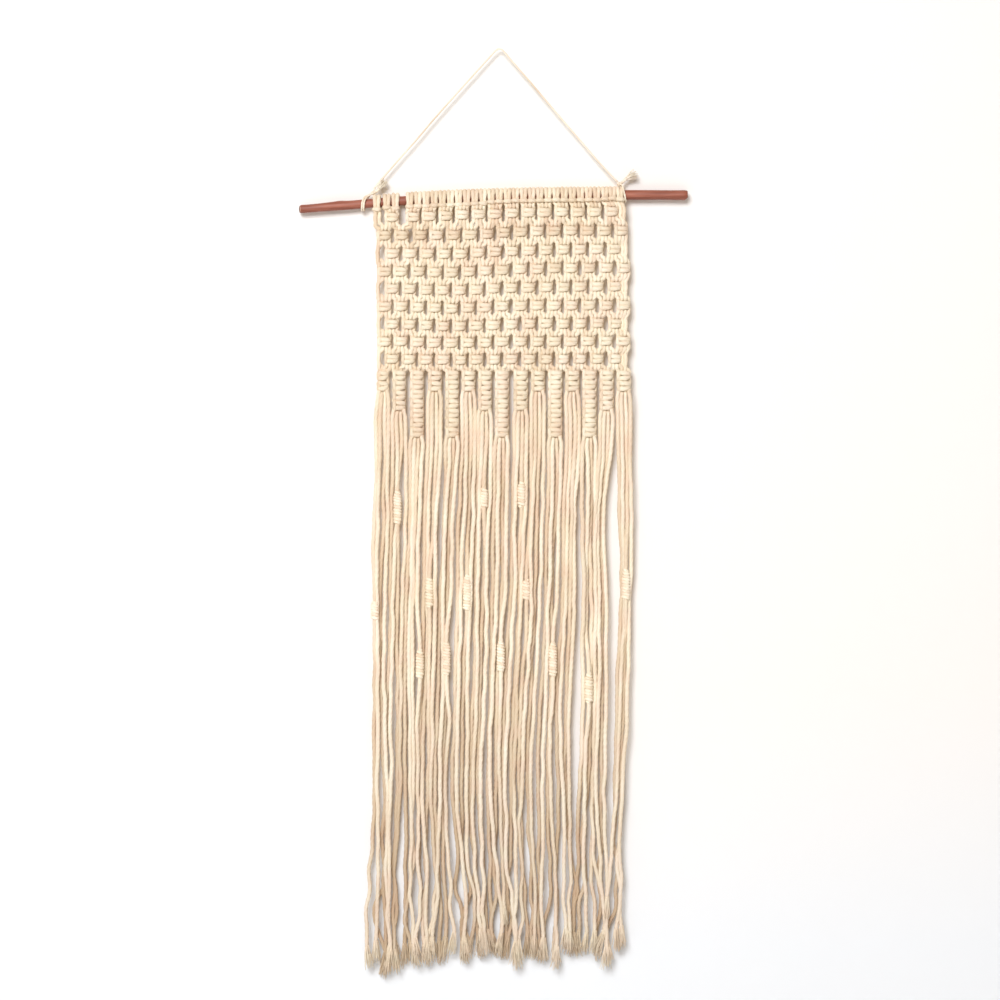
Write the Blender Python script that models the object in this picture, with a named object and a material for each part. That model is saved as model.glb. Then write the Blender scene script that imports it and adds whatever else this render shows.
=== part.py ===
"""Macrame wall hanging with its rod and hanging cord.

The origin is the point where the hanging cord bears on its nail.
X runs to the right along the rod, Y away from the viewer, Z up.  Metres.
"""

import math

import bmesh
import bpy
from mathutils import Vector

# Rope and knots
GAP = 0.0003                # air between two pieces that touch
ROPE = 0.0048               # three-ply cotton rope, slack
KNOT_WIDTH = 0.0178         # one square knot, four ropes wide
KNOT_CROWN = 0.0026         # how far a knot stands proud of its rim
COLUMN_PITCH = 0.02143      # from one knot of a row to the next
ROW_PITCH = 0.02233         # from one row of knots to the next
SLOT_HEIGHT = 0.0166        # the open slot between two knots of a row
COLUMNS = 15                # knots in an even row, and sinnets
ROWS = 9                    # alternating rows of the net
RIM_FRONT = 0.0034          # net surface in front of its mid-plane
RIM_BACK = 0.0040           # net surface behind its mid-plane

# Where the net hangs
FIRST_COLUMN_X = -0.1456    # middle of the leftmost knot of an even row
FIRST_ROW_Z = -0.2081       # middle of row 1 at the left edge
RIGHT_RISE = 0.0056         # row 1 is this much higher at its right end
NET_PLANE_Y = -0.0052       # mid-plane of the net
HEAD_PLANE_Y = -0.0085      # where the ropes leave the heading

# Heading
HEADS = 30
HEAD_WIDTH = 0.0097
HEAD_PITCH = 0.01014
FIRST_HEADS_X = (-0.1538, -0.1413, -0.1306)   # three knots left of the bare stretch of rod
FOURTH_HEAD_X = -0.1125
HEAD_ROPE = 0.0046          # rope thickness pulled tight round the rod

# Rod: its bend and its taper
ROD_SIDES = 14
ROD = [
    # x, z, radius
    (-0.2513, -0.1988, 0.0051),
    (-0.2260, -0.1971, 0.0053),
    (-0.2035, -0.1950, 0.0057),
    (-0.1725, -0.1926, 0.0056),
    (-0.1225, -0.1885, 0.0058),
    (-0.0610, -0.1853, 0.0059),
    (0.0000, -0.1831, 0.0059),
    (0.0800, -0.1817, 0.0060),
    (0.1575, -0.1813, 0.0061),
    (0.2338, -0.1813, 0.0061),
]

# Slots of the net that differ from the usual width
SLOT = 0.0036
WIDE_SLOT = 0.0047
SPECIAL_SLOTS = {
    # (row, column): width
    (1, 1.0): 0.0086,       # under the bare stretch of rod
    (2, 0.5): 0.0052,
    (3, 0.0): 0.0060,       # between the edge ropes and the first knot
    (5, 0.0): 0.0056,
    (7, 0.0): 0.0038,
    (9, 0.0): 0.0034,
    (1, 0.0): 0.0020,
    (2, 3.5): WIDE_SLOT,
    (3, 4.0): WIDE_SLOT,
    (4, 1.5): WIDE_SLOT,
    (4, 9.5): WIDE_SLOT,
    (5, 12.0): WIDE_SLOT,
    (6, 7.5): WIDE_SLOT,
    (8, 8.5): WIDE_SLOT,
    (9, 1.0): WIDE_SLOT,
}
RIGHT_EDGE_SLOT = 0.0016

# Sinnets: how many square knots each has, left to right
SINNET_KNOTS = (2, 4, 7, 2, 7, 2, 4, 7, 4, 2, 7, 2, 7, 4, 2)
SINNET_PITCH = 0.01163
SINNET_DEPTH = 0.0112
SINNET_WAIST = 0.86         # width between two knots, as a share of the knot's width

# Fringe: how far each group of four ropes has drifted sideways at these heights
LEVELS = (-0.4880, -0.5010, -0.6100, -0.7200, -0.8375, -0.9375, -1.0350)
DRIFT_Z = (-0.4875, -0.5875, -0.6875, -0.8375, -0.9375, -1.0250, -1.1000, -1.1500)
FRINGE = [
    # x in millimetres at each height of DRIFT_Z, then the two tips' heights in millimetres
    ((-147, -149, -151, -150, -150, -151, -154, -156), (-1150, -1163)),
    ((-126, -128, -131, -132, -133, -133, -137, -139), (-1158, -1150)),
    ((-105, -108, -110, -111, -111, -110, -111, -111), (-1149, -1147)),
    ((-82, -86, -89, -92, -94, -95, -96, -96), (-1144, -1148)),
    ((-60, -65, -68, -71, -74, -74, -73, -71), (-1145, -1134)),
    ((-39, -43, -45, -49, -51, -47, -45, -43), (-1136, -1145)),
    ((-19, -22, -24, -28, -31, -30, -27, -22), (-1139, -1134)),
    ((2, 0, -1, -7, -10, -9, -7, -6), (-1136, -1105)),
    ((25, 21, 20, 13, 10, 9, 12, 14), (-1137, -1151)),
    ((47, 44, 41, 34, 31, 30, 31, 34), (-1142, -1137)),
    ((69, 66, 64, 57, 56, 57, 58, 59), (-1144, -1150)),
    ((91, 87, 85, 79, 79, 81, 82, 81), (-1140, -1128)),
    ((112, 111, 111, 110, 107, 104, 102, 102), (-1135, -1132)),
    ((133, 127, 129, 127, 124, 123, 123, 125), (-1137, -1150)),
    ((155, 155, 153, 148, 147, 147, 145, 144), (-1100, -1128)),
]
TOOTH_OFFSET = 0.0052       # from a group's middle to its two teeth
TOOTH_HALF_WIDTH = 0.0047
TOOTH_HALF_DEPTH = 0.0026
TOOTH_ROUND = 0.0011         # the front of a tooth is this much narrower on each side
TEETH_APART = 0.0005
SWAY = 0.0013               # teeth stand a little before or behind each other

# Coil knots: tooth, middle height, length, in millimetres
COILS = [
    (3, -571, 42),
    (13, -560, 25),
    (17, -556, 31),
    (7, -678, 36),
    (11, -678, 44),
    (0, -700, 25),
    (18, -674, 25),
    (29, -668, 39),
    (5, -766, 35),
    (9, -759, 41),
    (15, -757, 39),
    (21, -761, 42),
    (24, -796, 38),
]
COIL_HALF_DEPTH = 0.0050
COIL_SHOULDER = 0.004

# Hanging cord and its ties
CORD = 0.0024
CORD_ROUTE = [
    # x, z, in millimetres, from the left tie over the nail to the right tie
    (-156.4, -172.2), (-149.0, -163.0), (-126.9, -137.5), (-104.6, -112.5), (-83.4, -87.5),
    (-61.3, -62.5), (-38.8, -37.5), (-16.1, -12.5), (-5.6, -1.0), (-3.4, 0.6),
    (-0.6, 1.2),
    (2.2, 0.5), (4.0, -1.1), (13.4, -12.5), (35.4, -37.5), (56.5, -62.5),
    (77.8, -87.5), (99.4, -112.5), (120.9, -137.5), (140.6, -158.8), (146.5, -164.3),
]
CORD_STEP = 0.0070
TIE_SIDES = 6
TIE_STEP = 0.0030
TIES = {
    # x, y, z and radius in millimetres, from the frayed tip through the knot and round the rod
    "tie_left": [
        (-140.5, -5.0, -164.5, 2.6), (-144.8, -4.9, -167.6, 2.9), (-149.3, -4.4, -171.6, 1.8),
        (-153.2, -3.2, -175.0, 2.0), (-157.0, -0.8, -176.2, 3.0), (-161.2, -1.6, -178.0, 2.0),
        (-165.6, -4.2, -181.6, 1.6), (-169.6, -6.9, -185.6, 1.6), (-172.6, -7.9, -191.0, 1.6),
        (-173.0, -5.6, -198.4, 1.6), (-172.4, 0.0, -200.9, 1.6), (-171.4, 5.8, -197.8, 1.6),
        (-169.8, 7.9, -191.6, 1.6), (-168.6, 6.4, -186.6, 1.6),
    ],
    "tie_right": [
        (172.5, -2.6, -157.6, 2.4), (167.6, -2.4, -156.0, 3.0), (161.0, -1.6, -157.2, 2.1),
        (154.6, -0.8, -162.0, 1.9), (149.2, -0.4, -167.0, 3.0), (154.2, -1.2, -167.6, 1.9),
        (157.4, -4.2, -169.6, 1.3), (157.8, -7.5, -175.0, 1.25), (157.8, -8.2, -181.4, 1.25),
        (157.8, -5.8, -187.2, 1.25), (157.8, 0.0, -189.6, 1.25), (157.8, 5.8, -187.2, 1.25),
        (157.8, 8.2, -181.4, 1.25), (157.8, 6.4, -175.6, 1.25),
    ],
}

COTTON = (0.87, 0.78, 0.64)
TERRACOTTA = (0.45, 0.13, 0.08)
MM = 0.001


# Curves through tables

def catmull(a, b, c, d, t):
    """A smooth curve from b to c, shaped by its neighbours a and d."""
    return 0.5 * (2 * b + (c - a) * t + (2 * a - 5 * b + 4 * c - d) * t ** 2
                  + (3 * b - a - 3 * c + d) * t ** 3)


def through(values, place):
    """The value at a fractional place along a list of values."""
    last = len(values) - 1
    i = min(int(max(place, 0.0)), last - 1)
    near = [values[min(max(i + k, 0), last)] for k in (-1, 0, 1, 2)]
    return catmull(*near, place - i)


def place_on(keys, key):
    """The fractional place of a key in a list of keys that rises or falls."""
    rising = keys[-1] > keys[0]
    for i in range(len(keys) - 1):
        if (key <= keys[i + 1]) == rising or i == len(keys) - 2:
            return min(max(i + (key - keys[i]) / (keys[i + 1] - keys[i]), 0), len(keys) - 1)


def rod_at(x):
    """Height and radius of the rod at x."""
    place = place_on([row[0] for row in ROD], x)
    return through([row[1] for row in ROD], place), through([row[2] for row in ROD], place)


# The warped grid of the net

def heading_shift(column):
    """How far the heading moves a column sideways from the plain grid."""
    if column < 0.9:
        return -0.0015
    right = 0.0063 - 0.0150 * (column - 1.25) / 13
    if column > 1.1:
        return right
    return (right - 0.0015) / 2


def column_x(column, row):
    """Middle of a column at a row; the heading's uneven spacing fades out downwards."""
    fade = max(0.0, 1 - row / 4.5) ** 1.5
    return FIRST_COLUMN_X + COLUMN_PITCH * column + fade * heading_shift(column)


def row_z(column, row):
    """Middle of a row at a column; the upper rows climb to the right with the rod."""
    across = 1 - (1 - min(max(column, 0), COLUMNS - 1) / (COLUMNS - 1)) ** 2
    fade = max(0.0, 1 - (row - 1) / 5.5)
    return FIRST_ROW_Z - ROW_PITCH * (row - 1) + RIGHT_RISE * across * fade


def plane_y(z):
    """Mid-plane of the cloth: in front of the rod's axis at the heading, then straight down."""
    return NET_PLANE_Y + (HEAD_PLANE_Y - NET_PLANE_Y) * math.exp((z - FIRST_ROW_Z) / 0.018 - 0.6)


def head_x(i):
    if i < len(FIRST_HEADS_X):
        return FIRST_HEADS_X[i]
    return FOURTH_HEAD_X + HEAD_PITCH * (i - len(FIRST_HEADS_X))


def below_heading(x):
    z, radius = rod_at(x)
    return z - radius - GAP - HEAD_ROPE - 2 * GAP


# Mesh helpers

def material(name, colour, roughness):
    made = bpy.data.materials.new(name)
    made.use_nodes = True
    shader = made.node_tree.nodes["Principled BSDF"]
    shader.inputs["Base Color"].default_value = (*colour, 1)
    shader.inputs["Roughness"].default_value = roughness
    shader.inputs["Metallic"].default_value = 0
    return made


def finish(bm, name, surface, smooth=False):
    """Turn a bmesh into a named object with its faces pointing out."""
    bmesh.ops.recalc_face_normals(bm, faces=bm.faces)
    mesh = bpy.data.meshes.new(name)
    bm.to_mesh(mesh)
    bm.free()
    mesh.materials.append(surface)
    if smooth:
        mesh.shade_smooth()
    made = bpy.data.objects.new(name, mesh)
    bpy.context.scene.collection.objects.link(made)
    return made


def skin(bm, rings, first_cap=True, last_cap=True):
    """Faces between rings of vertices, with caps on the two ends."""
    count = len(rings[0])
    for a, b in zip(rings, rings[1:]):
        for i in range(count):
            j = (i + 1) % count
            bm.faces.new((a[i], a[j], b[j], b[i]))
    if first_cap:
        bm.faces.new(rings[0])
    if last_cap:
        bm.faces.new(rings[-1][::-1])


def tube(name, points, radii, sides, surface):
    """A round tube of changing radius along points, with flat ends."""
    bm = bmesh.new()
    rings = []
    side = None
    for i, point in enumerate(points):
        ahead = points[min(i + 1, len(points) - 1)] - points[max(i - 1, 0)]
        ahead.normalize()
        if side is None:
            side = ahead.cross(Vector((0, 1, 0))).normalized()
        side = (side - ahead * side.dot(ahead)).normalized()
        other = ahead.cross(side)
        ring = []
        for k in range(sides):
            angle = math.tau * k / sides
            out = side * math.cos(angle) + other * math.sin(angle)
            ring.append(bm.verts.new(point + out * radii[i]))
        rings.append(ring)
    skin(bm, rings)
    return finish(bm, name, surface, smooth=True)


# Pieces

def rod(surface):
    xs = [row[0] for row in ROD]
    steps = 14
    points, radii = [], []
    for i in range(steps + 1):
        x = xs[0] + (xs[-1] - xs[0]) * i / steps
        z, radius = rod_at(x)
        points.append(Vector((x, 0, z)))
        radii.append(radius)
    made = tube("rod", points, radii, ROD_SIDES, surface)
    made.data.set_sharp_from_angle(angle=math.radians(40))
    return made


def head(i, surface):
    """One lark's head: a rope loop round the rod with its bar across the front."""
    x = head_x(i)
    z, radius = rod_at(x)
    ahead = rod_at(x + 0.005)[0] - rod_at(x - 0.005)[0]
    tilt = ahead / 0.01
    corners = 8
    inner = (radius + 2 * GAP) / math.cos(math.pi / corners)
    outer = radius + GAP + HEAD_ROPE
    bar = (0.0028, 0.0034)       # the bar stands out at the front and just below it
    bm = bmesh.new()
    rings = []
    for side in (-1, 1):
        loops = ([], [])
        for k in range(corners):
            angle = math.tau * k / corners
            reach = outer + (bar[k] if k < len(bar) else 0)
            for loop, size in zip(loops, (reach, inner)):
                along = side * HEAD_WIDTH / 2
                loop.append(bm.verts.new((
                    x + along,
                    -size * math.cos(angle),
                    z + tilt * along - size * math.sin(angle))))
        rings.append(loops)
    (outer_a, inner_a), (outer_b, inner_b) = rings
    for k in range(corners):
        n = (k + 1) % corners
        bm.faces.new((outer_a[k], outer_a[n], outer_b[n], outer_b[k]))
        bm.faces.new((inner_a[k], inner_b[k], inner_b[n], inner_a[n]))
        bm.faces.new((outer_a[k], inner_a[k], inner_a[n], outer_a[n]))
        bm.faces.new((outer_b[k], outer_b[n], inner_b[n], inner_b[k]))
    return finish(bm, f"larks_head_{i + 1:02d}", surface)


def slot_columns(row):
    """Columns of the slots in a row: under the knots of the rows above and below."""
    if row % 2:
        return [float(k) for k in range(COLUMNS)]
    return [k + 0.5 for k in range(COLUMNS - 1)]


def slot_width(row, column):
    if (row, column) in SPECIAL_SLOTS:
        return SPECIAL_SLOTS[row, column]
    if column == COLUMNS - 1:
        return RIGHT_EDGE_SLOT
    return SLOT


class NetRow:
    """Front and back vertices along the top or the bottom of one row's slots."""

    def __init__(self, bm, row, height):
        self.left, self.right = {}, {}
        self.columns = slot_columns(row)
        for column in self.columns:
            middle = column_x(column, row)
            half = slot_width(row, column) / 2
            if column == COLUMNS - 1:
                middle += 0.0012
            if column == 0:
                middle += 0.0018 - half
            self.left[column] = self.pair(bm, middle - half, column, row, height)
            self.right[column] = self.pair(bm, middle + half, column, row, height)
        reach = KNOT_WIDTH / 2
        bow = 0.0008 if row % 2 else 0.0
        self.start = self.pair(bm, column_x(0, row) - reach - bow, 0, row, height)
        self.end = self.pair(bm, column_x(COLUMNS - 1, row) + reach + bow, COLUMNS - 1, row, height)

    def pair(self, bm, x, column, row, height):
        z = row_z(column, row) + height
        if row == 1 and height > 0:
            z = below_heading(x)
        y = plane_y(z)
        return (bm.verts.new((x, y - RIM_FRONT, z)), bm.verts.new((x, y + RIM_BACK, z)))

    def chain(self):
        """All the pairs from left to right."""
        pairs = [self.start]
        for column in self.columns:
            pairs += [self.left[column], self.right[column]]
        return pairs + [self.end]

    def left_of(self, column):
        return self.right.get(column - 0.5, self.start)

    def right_of(self, column):
        return self.left.get(column + 0.5, self.end)


def both_sides(bm, *pairs):
    """One face through the front vertices and one through the back; returns the front one."""
    front = bm.faces.new([pair[0] for pair in pairs])
    bm.faces.new([pair[1] for pair in reversed(pairs)])
    return front


def wall(bm, a, b):
    bm.faces.new((a[0], a[1], b[1], b[0]))


def bodies(bm, top, bottom):
    """Knots and edge ropes between the slots of a row; returns the knots' front faces."""
    tops, bottoms = top.chain(), bottom.chain()
    faces = []
    for i in range(0, len(tops), 2):
        faces.append(both_sides(bm, tops[i], tops[i + 1], bottoms[i + 1], bottoms[i]))
    for column in top.columns:
        wall(bm, top.left[column], bottom.left[column])
        wall(bm, top.right[column], bottom.right[column])
        wall(bm, bottom.left[column], bottom.right[column])
    wall(bm, top.start, bottom.start)
    wall(bm, top.end, bottom.end)
    has_edge_ropes = top.columns[0] == 0
    return faces[1:-1] if has_edge_ropes else faces


def band(bm, upper, lower):
    """The crossing ropes between one row's slots and the next row's."""
    for column in upper.columns:
        both_sides(bm, upper.left[column], upper.right[column],
                   lower.right_of(column), lower.left_of(column))
    for column in lower.columns:
        both_sides(bm, upper.left_of(column), upper.right_of(column),
                   lower.right[column], lower.left[column])
    odd = upper if upper.columns[0] == 0 else lower
    last = odd.columns[-1]
    both_sides(bm, upper.start, odd.left[0.0], lower.start)
    both_sides(bm, upper.end, odd.right[last], lower.end)
    wall(bm, upper.start, lower.start)
    wall(bm, upper.end, lower.end)


def net(surface):
    """Nine alternating rows of square knots, open between the knots."""
    bm = bmesh.new()
    knots = []
    above = None
    for row in range(1, ROWS + 1):
        top = NetRow(bm, row, SLOT_HEIGHT / 2)
        bottom = NetRow(bm, row, -SLOT_HEIGHT / 2)
        knots += bodies(bm, top, bottom)
        if above:
            band(bm, above, top)
            for column in top.columns:
                wall(bm, top.left[column], top.right[column])
        else:
            chain = top.chain()
            for i in range(0, len(chain), 2):
                wall(bm, chain[i], chain[i + 1])
        above = bottom
    hem = NetRow(bm, ROWS + 1, SLOT_HEIGHT / 2)
    band(bm, above, hem)
    chain = hem.chain()
    for a, b in zip(chain, chain[1:]):
        wall(bm, a, b)
    bmesh.ops.recalc_face_normals(bm, faces=bm.faces)
    bmesh.ops.inset_individual(bm, faces=knots, thickness=0.0044, depth=KNOT_CROWN)
    return finish(bm, "knotted_net", surface)


def sinnet_top(column):
    return row_z(column, ROWS + 1) + SLOT_HEIGHT / 2 - GAP


def sinnet_bottom(column):
    return sinnet_top(column) - SINNET_PITCH * SINNET_KNOTS[column]


def sinnet(column, surface):
    """A flat braid of square knots, waisted between the knots."""
    knots = SINNET_KNOTS[column]
    bm = bmesh.new()
    rings = []
    for i in range(2 * knots + 1):
        z = sinnet_top(column) - SINNET_PITCH * i / 2
        size = 1.0 if i % 2 else SINNET_WAIST
        wide = KNOT_WIDTH / 2 * size
        deep = SINNET_DEPTH / 2 * size
        x = column_x(column, ROWS + 1)
        y = plane_y(z) + (RIM_BACK - RIM_FRONT) / 2
        outline = ((-1, 0), (-0.55, -1), (0.55, -1), (1, 0), (0.55, 1), (-0.55, 1))
        rings.append([bm.verts.new((x + wide * a, y + deep * b, z)) for a, b in outline])
    skin(bm, rings)
    return finish(bm, f"sinnet_{column + 1:02d}", surface)


def group_x(group, z):
    place = place_on(DRIFT_Z, z)
    return through(FRINGE[group][0], place) * MM


def tooth_x(tooth, z):
    side = 1 if tooth % 2 else -1
    return group_x(tooth // 2, z) + side * TOOTH_OFFSET


def tooth_section(tooth, z, teeth, half_depth):
    """Left and right edge and middle depth of a tooth at a height."""
    x = tooth_x(tooth, z)
    left = x - TOOTH_HALF_WIDTH
    right = x + TOOTH_HALF_WIDTH
    if tooth > 0:
        left = max(left, (x + tooth_x(tooth - 1, z)) / 2 + TEETH_APART / 2)
    if tooth < teeth - 1:
        right = min(right, (x + tooth_x(tooth + 1, z)) / 2 - TEETH_APART / 2)
    down = min(1.0, max(0.0, (LEVELS[1] - z) / 0.3))
    y = plane_y(z) + SWAY * down * math.sin(2.4 * tooth)
    return left, right, y, half_depth


def fringe(surface):
    """The loose ropes below the sinnets: one comb whose teeth are two ropes wide."""
    teeth = 2 * COLUMNS
    coils = {tooth: (middle * MM, length * MM) for tooth, middle, length in COILS}
    bm = bmesh.new()
    rings = []
    for tooth in range(teeth):
        tip = FRINGE[tooth // 2][1][tooth % 2] * MM
        heights = [(sinnet_bottom(tooth // 2) - GAP, TOOTH_HALF_DEPTH)]
        heights += [(z, TOOTH_HALF_DEPTH) for z in LEVELS if z > tip + 0.02]
        heights.append((tip, TOOTH_HALF_DEPTH))
        if tooth in coils:
            middle, length = coils[tooth]
            near = length / 2 + COIL_SHOULDER
            heights = [h for h in heights if abs(h[0] - middle) > near or h[0] >= LEVELS[1]]
            for side, deep in ((near, TOOTH_HALF_DEPTH), (length / 2 - COIL_SHOULDER, COIL_HALF_DEPTH)):
                heights += [(middle + side, deep), (middle - side, deep)]
            heights.sort(reverse=True)
        stack = []
        for z, half_depth in heights:
            left, right, y, deep = tooth_section(tooth, z, teeth, half_depth)
            corners = ((left + TOOTH_ROUND, y - deep), (right - TOOTH_ROUND, y - deep),
                       (right, y + deep), (left, y + deep))
            stack.append([bm.verts.new((a, b, z)) for a, b in corners])
        rings.append(stack)
    spine = (1, 2)
    for tooth, stack in enumerate(rings):
        bm.faces.new(stack[0])
        bm.faces.new(stack[-1])
        for i, (a, b) in enumerate(zip(stack, stack[1:])):
            bm.faces.new((a[0], a[1], b[1], b[0]))
            bm.faces.new((a[2], a[3], b[3], b[2]))
            joined = i == spine[0]
            if not joined or tooth == teeth - 1:
                bm.faces.new((a[1], a[2], b[2], b[1]))
            if not joined or tooth == 0:
                bm.faces.new((a[3], a[0], b[0], b[3]))
    for one, other in zip(rings, rings[1:]):
        a, b = one[spine[0]], one[spine[1]]
        c, d = other[spine[0]], other[spine[1]]
        bm.faces.new((a[1], c[0], d[0], b[1]))
        bm.faces.new((a[2], c[3], d[3], b[2]))
        bm.faces.new((a[1], c[0], c[3], a[2]))
        bm.faces.new((b[1], d[0], d[3], b[2]))
    return finish(bm, "fringe", surface)


def smooth_path(rows, step):
    """Points a step apart along a smooth curve through rows of numbers."""
    fine = 24
    dense = []
    for i in range((len(rows) - 1) * fine + 1):
        dense.append([through([row[k] for row in rows], i / fine) for k in range(len(rows[0]))])
    lengths = [0.0]
    for a, b in zip(dense, dense[1:]):
        lengths.append(lengths[-1] + math.dist(a[:3], b[:3]))
    count = max(2, round(lengths[-1] / step))
    found = []
    k = 0
    for i in range(count + 1):
        want = lengths[-1] * i / count
        while k < len(lengths) - 2 and lengths[k + 1] < want:
            k += 1
        share = (want - lengths[k]) / (lengths[k + 1] - lengths[k])
        found.append([a + (b - a) * share for a, b in zip(dense[k], dense[k + 1])])
    return found


def hanging_cord(surface):
    route = [(x * MM, 0.0, z * MM) for x, z in CORD_ROUTE]
    points = smooth_path(route, CORD_STEP)
    curve = bpy.data.curves.new("hanging_cord", "CURVE")
    curve.dimensions = "3D"
    curve.bevel_depth = CORD / 2
    curve.bevel_resolution = 2
    curve.use_fill_caps = True
    spline = curve.splines.new("POLY")
    spline.points.add(len(points) - 1)
    for target, point in zip(spline.points, points):
        target.co = (*point, 1)
    curve.materials.append(surface)
    made = bpy.data.objects.new("hanging_cord", curve)
    bpy.context.scene.collection.objects.link(made)
    return made


def tie(name, surface):
    """A knot over the rod with its frayed end, and the loop that goes round the rod."""
    rows = [[value * MM for value in row] for row in TIES[name]]
    path = smooth_path(rows, TIE_STEP)
    points = [Vector(row[:3]) for row in path]
    radii = [row[3] for row in path]
    return tube(name, points, radii, TIE_SIDES, surface)


def main():
    for old in list(bpy.data.objects):
        bpy.data.objects.remove(old)
    bpy.context.scene.unit_settings.system = "METRIC"
    rod(material("stained_wood", TERRACOTTA, 0.55))
    for i in range(HEADS):
        head(i, material(f"heading_cotton_{i + 1:02d}", COTTON, 0.9))
    net(material("net_cotton", COTTON, 0.9))
    for column in range(COLUMNS):
        sinnet(column, material(f"sinnet_cotton_{column + 1:02d}", COTTON, 0.9))
    fringe(material("fringe_cotton", COTTON, 0.92))
    hanging_cord(material("cord_cotton", COTTON, 0.9))
    for name in TIES:
        tie(name, material(f"{name}_cotton", COTTON, 0.92))


main()
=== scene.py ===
# Knotted cotton rope hanging on a stained rod
import math
import random

import bmesh
import bpy
import numpy as np
from mathutils import Matrix, Vector, noise


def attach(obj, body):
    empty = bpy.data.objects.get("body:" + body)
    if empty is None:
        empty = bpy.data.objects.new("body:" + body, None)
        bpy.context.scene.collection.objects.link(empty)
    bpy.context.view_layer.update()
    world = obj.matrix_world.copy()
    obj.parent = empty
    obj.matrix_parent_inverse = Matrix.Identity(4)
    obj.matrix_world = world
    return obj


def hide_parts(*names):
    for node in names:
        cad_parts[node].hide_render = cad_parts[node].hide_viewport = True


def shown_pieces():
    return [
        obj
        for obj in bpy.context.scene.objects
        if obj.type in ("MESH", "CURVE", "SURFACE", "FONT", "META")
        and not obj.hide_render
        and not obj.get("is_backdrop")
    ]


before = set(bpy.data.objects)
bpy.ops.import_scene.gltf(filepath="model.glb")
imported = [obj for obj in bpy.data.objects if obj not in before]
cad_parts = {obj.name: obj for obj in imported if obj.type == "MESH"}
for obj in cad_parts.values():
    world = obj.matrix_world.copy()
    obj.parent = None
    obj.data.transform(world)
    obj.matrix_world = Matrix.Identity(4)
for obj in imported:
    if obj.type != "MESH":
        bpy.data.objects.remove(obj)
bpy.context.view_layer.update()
scene = bpy.context.scene
mm = 0.001


# ---- camera: straight on, a long lens, one metre and a quarter across the rope's plane
camera = {"lens": 100, "sensor": 36, "across": 1.25, "height": -0.5625, "clip": (0.1, 30)}


def makeCamera():
    data = bpy.data.cameras.new("camera")
    data.lens = camera["lens"]
    data.sensor_width = camera["sensor"]
    data.clip_start, data.clip_end = camera["clip"]
    made = bpy.data.objects.new("camera", data)
    made.location = (0, -camera["across"] * camera["lens"] / camera["sensor"], camera["height"])
    made.rotation_euler = (math.radians(90), 0, 0)
    scene.collection.objects.link(made)
    scene.camera = made


makeCamera()
print("camera ready")


# ---- smooth lines through a few places, and gentle wandering

def catmull(a, b, c, d, t):
    return 0.5 * (2 * b + (c - a) * t + (2 * a - 5 * b + 4 * c - d) * t ** 2
                  + (3 * b - a - 3 * c + d) * t ** 3)


def through(values, place):
    last = len(values) - 1
    i = min(int(max(place, 0.0)), last - 1)
    near = [values[min(max(i + k, 0), last)] for k in (-1, 0, 1, 2)]
    return catmull(*near, place - i)


def placeOn(keys, key):
    rising = keys[-1] > keys[0]
    for i in range(len(keys) - 1):
        if (key <= keys[i + 1] if rising else key >= keys[i + 1]) or i == len(keys) - 2:
            return min(max(i + (key - keys[i]) / (keys[i + 1] - keys[i]), 0), len(keys) - 1)


def wander(seed, z, size):
    return noise.noise(Vector((seed * 7.31 + 0.5, z * size, seed * 1.7)))


def blendIn(value, low, high):
    t = min(max((value - low) / (high - low), 0), 1)
    return t * t * (3 - 2 * t)


def smoothLine(keys):
    # keys are x, y, z, radius and the step wanted there; the line comes back evenly stepped
    keys = np.array(keys, float)
    apart = np.linalg.norm(np.diff(keys[:, :3], axis=0), axis=1)
    keys = keys[np.concatenate([[True], apart > 1e-5])]
    apart = np.linalg.norm(np.diff(keys[:, :3], axis=0), axis=1)
    span = apart ** 0.5
    slope = np.diff(keys, axis=0) / span[:, None]
    lean = np.empty_like(keys)
    lean[1:-1] = ((slope[:-1] * span[1:, None] + slope[1:] * span[:-1, None])
                  / (span[:-1] + span[1:])[:, None])
    lean[0], lean[-1] = slope[0], slope[-1]
    dense = []
    for i, wide in enumerate(span):
        t = np.linspace(0, 1, max(3, int(apart[i] / 0.0006)), endpoint=False)[:, None]
        dense.append((2 * t ** 3 - 3 * t ** 2 + 1) * keys[i] + (t ** 3 - 2 * t ** 2 + t) * wide * lean[i]
                     + (3 * t ** 2 - 2 * t ** 3) * keys[i + 1] + (t ** 3 - t ** 2) * wide * lean[i + 1])
    dense = np.concatenate(dense + [keys[-1:]])
    run = np.linalg.norm(np.diff(dense[:, :3], axis=0), axis=1)
    cost = np.concatenate([[0], np.cumsum(run / dense[1:, 4])])
    want = np.linspace(0, cost[-1], max(2, round(cost[-1])) + 1)
    return np.stack([np.interp(want, cost, dense[:, k]) for k in range(4)], 1)


def lengthOf(line):
    return float(np.linalg.norm(np.diff(line[:, :3], axis=0), axis=1).sum())


# ---- finishes

def newMaterial(name, roughness):
    made = bpy.data.materials.new(name)
    made.use_nodes = True
    shader = made.node_tree.nodes["Principled BSDF"]
    shader.inputs["Roughness"].default_value = roughness
    return made, made.node_tree.nodes, made.node_tree.links, shader


def ramp(nodes, links, source, stops):
    made = nodes.new("ShaderNodeValToRGB")
    for extra in range(len(stops) - 2):
        made.color_ramp.elements.new(0.5)
    for element, (place, colour) in zip(made.color_ramp.elements, stops):
        element.position = place
        element.color = (*colour, 1)
    links.new(source, made.inputs["Fac"])
    return made.outputs["Color"]


def mapped(nodes, links, source, low, high):
    made = nodes.new("ShaderNodeMapRange")
    made.inputs["From Min"].default_value = low
    made.inputs["From Max"].default_value = high
    links.new(source, made.inputs["Value"])
    return made.outputs["Result"]


def stretched(nodes, links, source, scale):
    made = nodes.new("ShaderNodeMapping")
    made.inputs["Scale"].default_value = scale
    links.new(source, made.inputs["Vector"])
    return made.outputs["Vector"]


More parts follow.
